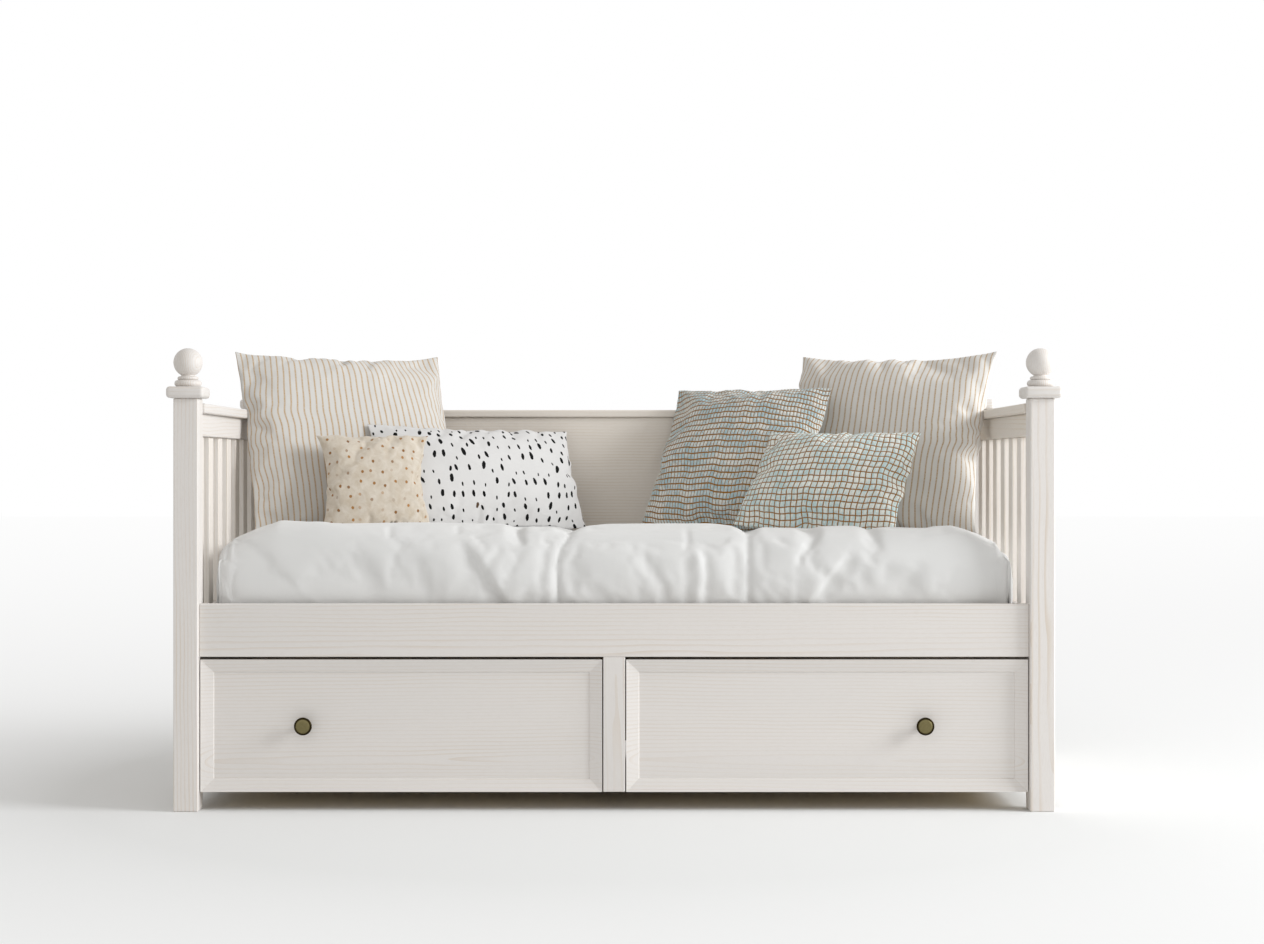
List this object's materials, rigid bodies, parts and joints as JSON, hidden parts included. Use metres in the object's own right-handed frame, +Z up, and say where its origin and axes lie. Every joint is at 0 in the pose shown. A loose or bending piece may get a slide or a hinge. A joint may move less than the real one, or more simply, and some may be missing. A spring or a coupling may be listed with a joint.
{
  "type": "storage daybed",
  "caption": "White-stained wooden daybed with boarded back, slatted ends, ball finials, under-bed drawers on runners, duvet and loose cushions.",
  "frame": {"origin": "on the floor at the middle of the footprint", "axes": "+X to the right of someone who faces the front, the front faces -Y, +Z up"},
  "size_m": [2.091, 1.03, 1.117],
  "materials": {
    "stained_pine": "white-stained pine, matt lacquer, fine grain",
    "raw_pine": "unfinished pine of the hidden boards, runners and slats",
    "aged_brass": "aged brass, olive brown face with a dark rim",
    "white_cotton": "white cotton cover with soft creases",
    "mattress_ticking": "off-white mattress ticking",
    "striped_cotton": "white cotton with thin tan stripes",
    "dashed_cotton": "white cotton with short black dashes",
    "dotted_linen": "cream linen with small ochre dots",
    "woven_grid": "pale blue and white weave with a brown grid"
  },
  "bodies": {
    "frame": {"back_cap_rail": "stained_pine", "back_lower_panel": "stained_pine", "back_upper_panel": "stained_pine", "centre_partition": "raw_pine", "centre_stile": "stained_pine", "cream_cushion": "dotted_linen", "dash_cushion": "dashed_cotton", "duvet": "white_cotton", "front_rail": "stained_pine", "grid_cushion_long": "woven_grid", "grid_cushion_square": "woven_grid", "left_drawer_inner_runner": "raw_pine", "left_drawer_outer_runner": "raw_pine", "mattress": "mattress_ticking", "newel_cap_back_left": "stained_pine", "newel_cap_back_right": "stained_pine", "newel_cap_front_left": "stained_pine", "newel_cap_front_right": "stained_pine", "post_back_left": "stained_pine", "post_back_right": "stained_pine", "post_front_left": "stained_pine", "post_front_right": "stained_pine", "right_drawer_inner_runner": "raw_pine", "right_drawer_outer_runner": "raw_pine", "side_cap_rail_left": "stained_pine", "side_cap_rail_right": "stained_pine", "side_lower_panel_left": "stained_pine", "side_lower_panel_right": "stained_pine", "side_slat_left_1": "stained_pine", "side_slat_left_2": "stained_pine", "side_slat_left_3": "stained_pine", "side_slat_left_4": "stained_pine", "side_slat_left_5": "stained_pine", "side_slat_left_6": "stained_pine", "side_slat_left_7": "stained_pine", "side_slat_right_1": "stained_pine", "side_slat_right_2": "stained_pine", "side_slat_right_3": "stained_pine", "side_slat_right_4": "stained_pine", "side_slat_right_5": "stained_pine", "side_slat_right_6": "stained_pine", "side_slat_right_7": "stained_pine", "side_top_rail_left": "stained_pine", "side_top_rail_right": "stained_pine", "slatted_base": "raw_pine", "striped_cushion_left": "striped_cotton", "striped_cushion_right": "striped_cotton"},
    "left_drawer": {"left_drawer_back": "raw_pine", "left_drawer_bottom": "raw_pine", "left_drawer_front": "stained_pine", "left_drawer_knob": "aged_brass", "left_drawer_left_side": "raw_pine", "left_drawer_right_side": "raw_pine"},
    "right_drawer": {"right_drawer_back": "raw_pine", "right_drawer_bottom": "raw_pine", "right_drawer_front": "stained_pine", "right_drawer_knob": "aged_brass", "right_drawer_left_side": "raw_pine", "right_drawer_right_side": "raw_pine"}
  },
  "joints": [
    {"name": "left_drawer_slide", "type": "slide", "parent": "frame", "child": "left_drawer", "axis": [0, -1, 0], "range_m": [0, 0.5]},
    {"name": "right_drawer_slide", "type": "slide", "parent": "frame", "child": "right_drawer", "axis": [0, -1, 0], "range_m": [0, 0.5]}
  ]
}
